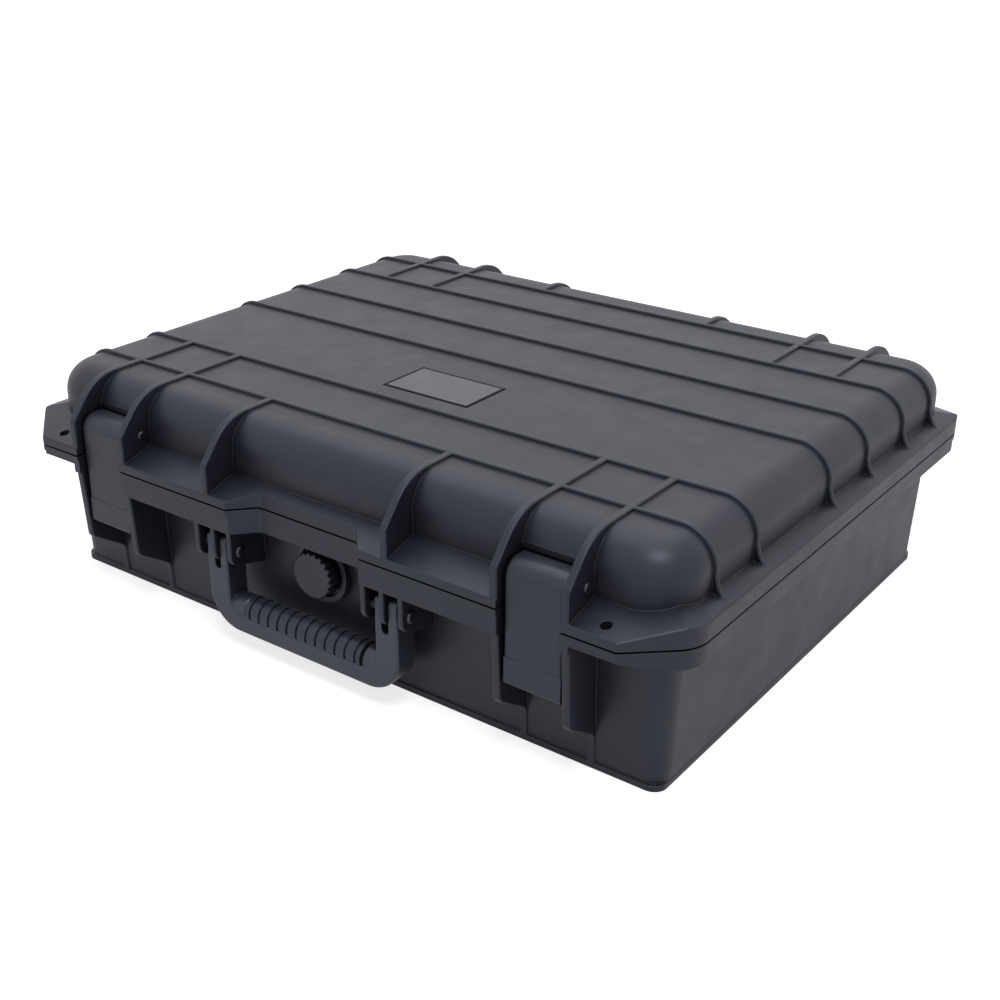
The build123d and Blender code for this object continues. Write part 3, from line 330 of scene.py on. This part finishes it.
# --- Foam -----------------------------------------------------------------------
BAY_HALF_X = 0.196
BAY_HALF_Y = 0.141
BAY_CORNER = 0.008
BAY_DEPTH = 0.038
BAY_ROUND = 0.0025              # rounded edge round the bay
SCOOP_X = 0.1882                # middle of a finger scoop
SCOOP_R = 0.026
NOTCH_HALF = 0.0133             # clears the valve's nut
NOTCH_DEPTH = 0.0045
FOAM_CORNER = 0.020
FOAM_ROUND = 0.002              # rounded outer edges
TRAY_POINTS = 420               # points round each ring
PAD_POINTS = 240
TRAY_RIPPLE = 0.0006            # unevenness of the cut faces
PAD_RIPPLE = 0.0004
CRATE_PITCH = 0.031
CRATE_HEIGHT = 0.015
CRATE_CLEARANCE = 0.0004        # from the block's sides
CRATE_TIP = 0.0012              # lowest tips above the block's underside
CRATE_CELLS = (176, 132)
CRATE_SIDES = ((1.0, 0.0125), (0.985, 0.009), (0.95, 0.0006))   # share of the plan, drop


def corner_arc(cx, cy, radius, start, sweep=90, steps=8):
    """Points of an arc about (cx, cy), angles in degrees."""
    turns = [math.radians(start + sweep * k / steps) for k in range(steps + 1)]
    return [(cx + radius * math.cos(a), cy + radius * math.sin(a)) for a in turns]


def rounded_box(half_x, half_y, radius):
    """Outline of a rounded rectangle, from the middle of its front side."""
    x, y = half_x - radius, half_y - radius
    points = [(0.0, -half_y)]
    for cx, cy, start in ((x, -y, -90), (x, y, 0), (-x, y, 90), (-x, -y, 180)):
        points += corner_arc(cx, cy, radius, start)
    return points


def notched_box(half_x, half_y):
    """The block's outline with the notch that clears the valve's nut."""
    points = rounded_box(half_x, half_y, FOAM_CORNER)[1:]
    y = -half_y + NOTCH_DEPTH
    left = [(-NOTCH_HALF, -half_y), (-NOTCH_HALF, y)]
    right = [(NOTCH_HALF, y), (NOTCH_HALF, -half_y)]
    return [(0.0, y)] + right + points + left


def scooped_bay():
    """The bay's outline with a finger scoop in the middle of each side."""
    x, y, r = BAY_HALF_X - BAY_CORNER, BAY_HALF_Y - BAY_CORNER, BAY_CORNER
    out = math.degrees(math.acos((BAY_HALF_X - SCOOP_X) / SCOOP_R))
    points = [(0.0, -BAY_HALF_Y)]
    points += corner_arc(x, -y, r, -90)
    points += corner_arc(SCOOP_X, 0, SCOOP_R, -out, 2 * out, 20)
    points += corner_arc(x, y, r, 0) + corner_arc(-x, y, r, 90)
    points += corner_arc(-SCOOP_X, 0, SCOOP_R, 180 - out, 2 * out, 20)
    return points + corner_arc(-x, -y, r, 180)


def even_loop(points, count):
    """The closed outline as evenly spaced points."""
    closed = [Vector(p) for p in points] + [Vector(points[0])]
    runs = [(b - a).length for a, b in zip(closed, closed[1:])]
    step = sum(runs) / count
    loop = []
    index, left = 0, 0.0
    for k in range(count):
        target = k * step
        while left + runs[index] < target:
            left += runs[index]
            index += 1
        share = (target - left) / max(runs[index], 1e-9)
        loop.append(closed[index].lerp(closed[index + 1], share))
    return loop


def moved_in(loop, distance):
    """The loop moved to its left, which is inwards for one that runs anticlockwise."""
    count = len(loop)
    moved = []
    for k, point in enumerate(loop):
        along = (loop[(k + 1) % count] - loop[k - 1]).normalized()
        moved.append(point + Vector((-along.y, along.x)) * distance)
    return moved


def round_over(loop, top, radius, into, steps=4):
    """Rings that carry an upright wall over a rounded edge at height top."""
    rings = []
    for k in range(steps + 1):
        a = math.radians(90 * k / steps)
        inset = into * radius * (1 - math.cos(a))
        rings.append((moved_in(loop, inset), top - radius * (1 - math.sin(a))))
    return rings


def wall_rings(loop, z0, z1, count):
    """Rings up or down an upright wall, without the last."""
    return [(loop, z0 + (z1 - z0) * k / count) for k in range(count)]


def between(first, last, z, count):
    """Rings across a flat face from one loop to another."""
    rings = []
    for k in range(1, count):
        rings.append(([a.lerp(b, k / count) for a, b in zip(first, last)], z))
    return rings


def shrunk(loop, z, shares):
    """Rings on a flat face, drawn in towards the middle."""
    return [([p * share for p in loop], z) for share in shares]


def skin_rings(name, rings, body, node, material, ripple):
    """Closes rings of equal count into a foam piece with a slightly uneven cut."""
    mesh = bmesh.new()
    rows = [[mesh.verts.new((p.x, p.y, z)) for p in loop] for loop, z in rings]
    count = len(rows[0])
    for low, high in zip(rows, rows[1:]):
        for k in range(count):
            n = (k + 1) % count
            mesh.faces.new((low[k], low[n], high[n], high[k]))
    mesh.faces.new(rows[0])
    mesh.faces.new(rows[-1])
    bmesh.ops.recalc_face_normals(mesh, faces=mesh.faces)
    mesh.normal_update()
    for v in mesh.verts:
        lump = noise.noise(v.co * 60) + 0.5 * noise.noise(v.co * 170)
        v.co -= v.normal * ripple * (0.5 + 0.33 * lump)
    foam_piece(name, mesh, body, node, material)


def foam_piece(name, mesh, body, node, material):
    """The mesh as a piece that rides on body and stands for node."""
    data = bpy.data.meshes.new(name)
    mesh.to_mesh(data)
    mesh.free()
    data.materials.append(material)
    for polygon in data.polygons:
        polygon.use_smooth = len(polygon.vertices) == 4
    obj = bpy.data.objects.new(name, data)
    bpy.context.collection.objects.link(obj)
    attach(obj, body)
    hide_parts(node)


def base_tray(material):
    """Foam block round the laptop's bay, with two finger scoops."""
    low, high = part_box("base_foam_tray")
    top, floor = high[2], high[2] - BAY_DEPTH
    outer = even_loop(notched_box(high[0], high[1]), TRAY_POINTS)
    bay = even_loop(scooped_bay(), TRAY_POINTS)
    rings = [(moved_in(outer, FOAM_ROUND), low[2])]
    rings += wall_rings(outer, low[2] + FOAM_ROUND, top - FOAM_ROUND, 8)
    rings += round_over(outer, top, FOAM_ROUND, 1)
    rings += between(moved_in(outer, FOAM_ROUND), moved_in(bay, -BAY_ROUND), top, 6)
    rings += round_over(bay, top, BAY_ROUND, -1)[::-1]
    rings += wall_rings(bay, top - BAY_ROUND - 0.0001, floor + FOAM_ROUND, 10)
    rings += [(moved_in(bay, 0.0006), floor + 0.0006), (moved_in(bay, FOAM_ROUND), floor)]
    rings += shrunk(bay, floor, (0.9, 0.75, 0.6, 0.45, 0.3, 0.15, 0.03))
    skin_rings("base_foam_block", rings, "base", "base_foam_tray", material, TRAY_RIPPLE)


def base_pad(material):
    """Flat foam on the floor of the tub."""
    low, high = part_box("base_foam_pad")
    outer = even_loop(rounded_box(high[0], high[1], FOAM_CORNER), PAD_POINTS)
    rings = shrunk(outer, low[2], (0.3, 0.7, 0.95))
    rings += wall_rings(outer, low[2] + FOAM_ROUND / 2, high[2] - FOAM_ROUND, 4)
    rings += round_over(outer, high[2], FOAM_ROUND, 1)
    rings += shrunk(outer, high[2], (0.9, 0.6, 0.3))
    skin_rings("base_foam_slab", rings, "base", "base_foam_pad", material, PAD_RIPPLE)


def on_block(u, v, half_x, half_y):
    """Point of the unit square carried on to the block's rounded plan."""
    x, y = u * half_x, v * half_y
    a = (abs(x) - (half_x - FOAM_CORNER)) / FOAM_CORNER
    b = (abs(y) - (half_y - FOAM_CORNER)) / FOAM_CORNER
    if a > 0 and b > 0:
        share = max(a, b) / math.hypot(a, b) * FOAM_CORNER
        x = math.copysign(half_x - FOAM_CORNER + a * share, x)
        y = math.copysign(half_y - FOAM_CORNER + b * share, y)
    return x, y


def egg_crate(material):
    """Convoluted foam bonded under the lid's top."""
    low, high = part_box("lid_foam")
    half_x, half_y = high[0] - CRATE_CLEARANCE, high[1] - CRATE_CLEARANCE
    nx, ny = CRATE_CELLS
    mesh = bmesh.new()
    grid = []
    for j in range(ny + 1):
        row = []
        for i in range(nx + 1):
            u, v = 2 * i / nx - 1, 2 * j / ny - 1
            x, y = on_block(u, v, half_x, half_y)
            wave = math.cos(math.tau * x / CRATE_PITCH) * math.cos(math.tau * y / CRATE_PITCH)
            wave += 0.12 * noise.noise(Vector((x, y, 0)) * 90)
            rim = min(1.0, (1 - max(abs(u), abs(v))) * 14)
            z = low[2] + CRATE_TIP + CRATE_HEIGHT / 2 * (1 - wave * rim)
            row.append(mesh.verts.new((x, y, z)))
        grid.append(row)
    for j in range(ny):
        for i in range(nx):
            mesh.faces.new((grid[j][i], grid[j + 1][i], grid[j + 1][i + 1], grid[j][i + 1]))
    ring = [grid[0][i] for i in range(nx)] + [grid[j][nx] for j in range(ny)]
    ring += [grid[ny][i] for i in range(nx, 0, -1)] + [grid[j][0] for j in range(ny, 0, -1)]
    below = ring
    for share, drop in CRATE_SIDES:
        above = [mesh.verts.new((p.co.x * share, p.co.y * share, high[2] - drop)) for p in ring]
        for k in range(len(ring)):
            n = (k + 1) % len(ring)
            mesh.faces.new((below[k], below[n], above[n], above[k]))
        below = above
    mesh.faces.new(below)
    bmesh.ops.recalc_face_normals(mesh, faces=mesh.faces)
    foam_piece("lid_foam_crate", mesh, "lid", "lid_foam", material)


# --- Studio ---------------------------------------------------------------------
WHITE = (1.0, 1.0, 1.0, 1.0)
SKY = (0.97, 0.98, 1.0, 1.0)
SKY_LEVEL = 0.25                # the world's light on the object
PAPER = (0.86, 0.86, 0.86, 1.0)
FLOOR_HALF = 6.0                # metres
FLOOR_GLOW = {"Is Camera Ray": 0.75, "Is Glossy Ray": 0.30, "Is Transmission Ray": 0.30}
LAMP_COLOUR = (0.955, 0.97, 1.0)
LAMP_AIM = (0.0, 0.0, 0.1)
LAMPS = {                       # place, side in metres, watts
    "top_box": ((-0.4, 0.5, 2.2), 2.4, 16.0),
    "key_box": ((0.95, -1.05, 2.5), 0.9, 22.0),
}


def seen_mask(tree):
    """1 for rays that see the background itself: camera, glossy and transmission."""
    path = tree.nodes.new("ShaderNodeLightPath")
    best = path.outputs["Is Camera Ray"]
    for name in ("Is Glossy Ray", "Is Transmission Ray"):
        node = tree.nodes.new("ShaderNodeMath")
        node.operation = "MAXIMUM"
        tree.links.new(best, node.inputs[0])
        tree.links.new(path.outputs[name], node.inputs[1])
        best = node.outputs[0]
    return best


def backdrop(tree, colour, strength):
    node = tree.nodes.new("ShaderNodeBackground")
    node.inputs["Color"].default_value = colour
    node.inputs["Strength"].default_value = strength
    return node.outputs[0]


def make_world():
    """White where it is seen, and a weak even light on the object."""
    world = bpy.data.worlds.new("studio")
    bpy.context.scene.world = world
    world.use_nodes = True
    tree = world.node_tree
    tree.nodes.clear()
    mix = tree.nodes.new("ShaderNodeMixShader")
    out = tree.nodes.new("ShaderNodeOutputWorld")
    tree.links.new(seen_mask(tree), mix.inputs[0])
    tree.links.new(backdrop(tree, SKY, SKY_LEVEL), mix.inputs[1])
    tree.links.new(backdrop(tree, WHITE, 1.0), mix.inputs[2])
    tree.links.new(mix.outputs[0], out.inputs["Surface"])


def floor_glow(tree):
    """The floor's own light, for rays that see it and not for the object."""
    path = tree.nodes.new("ShaderNodeLightPath")
    glow = None
    for ray, strength in FLOOR_GLOW.items():
        step = tree.nodes.new("ShaderNodeMath")
        step.operation = "MULTIPLY_ADD"
        step.inputs[1].default_value = strength
        step.inputs[2].default_value = 0.0
        tree.links.new(path.outputs[ray], step.inputs[0])
        if glow:
            tree.links.new(glow, step.inputs[2])
        glow = step.outputs[0]
    return glow


def make_floor():
    """Pale floor that looks white where it is lit and keeps the object's shadow."""
    mesh = bmesh.new()
    bmesh.ops.create_grid(mesh, x_segments=8, y_segments=8, size=FLOOR_HALF)
    data = bpy.data.meshes.new("floor")
    mesh.to_mesh(data)
    mesh.free()
    floor = bpy.data.objects.new("floor", data)
    bpy.context.collection.objects.link(floor)
    material = bpy.data.materials.new("floor_paper")
    material.use_nodes = True
    tree = material.node_tree
    shader = tree.nodes["Principled BSDF"]
    shader.inputs["Base Color"].default_value = PAPER
    shader.inputs["Roughness"].default_value = 0.9
    shader.inputs["Specular IOR Level"].default_value = 0.1
    shader.inputs["Emission Color"].default_value = WHITE
    tree.links.new(floor_glow(tree), shader.inputs["Emission Strength"])
    data.materials.append(material)


def make_lights():
    for name, (place, side, power) in LAMPS.items():
        data = bpy.data.lights.new(name, "AREA")
        data.shape = "RECTANGLE"
        data.size = data.size_y = side
        data.energy = power
        data.color = LAMP_COLOUR
        lamp = bpy.data.objects.new(name, data)
        lamp.location = place
        aim = Vector(LAMP_AIM) - Vector(place)
        lamp.rotation_euler = aim.to_track_quat("-Z", "Y").to_euler()
        bpy.context.collection.objects.link(lamp)


bpy.context.scene.view_settings.view_transform = "Standard"
make_camera()
materials = make_materials()
dress_nodes(materials)
egg_crate(materials["foam"])
base_tray(materials["foam"])
base_pad(materials["foam"])
make_world()
make_floor()
make_lights()
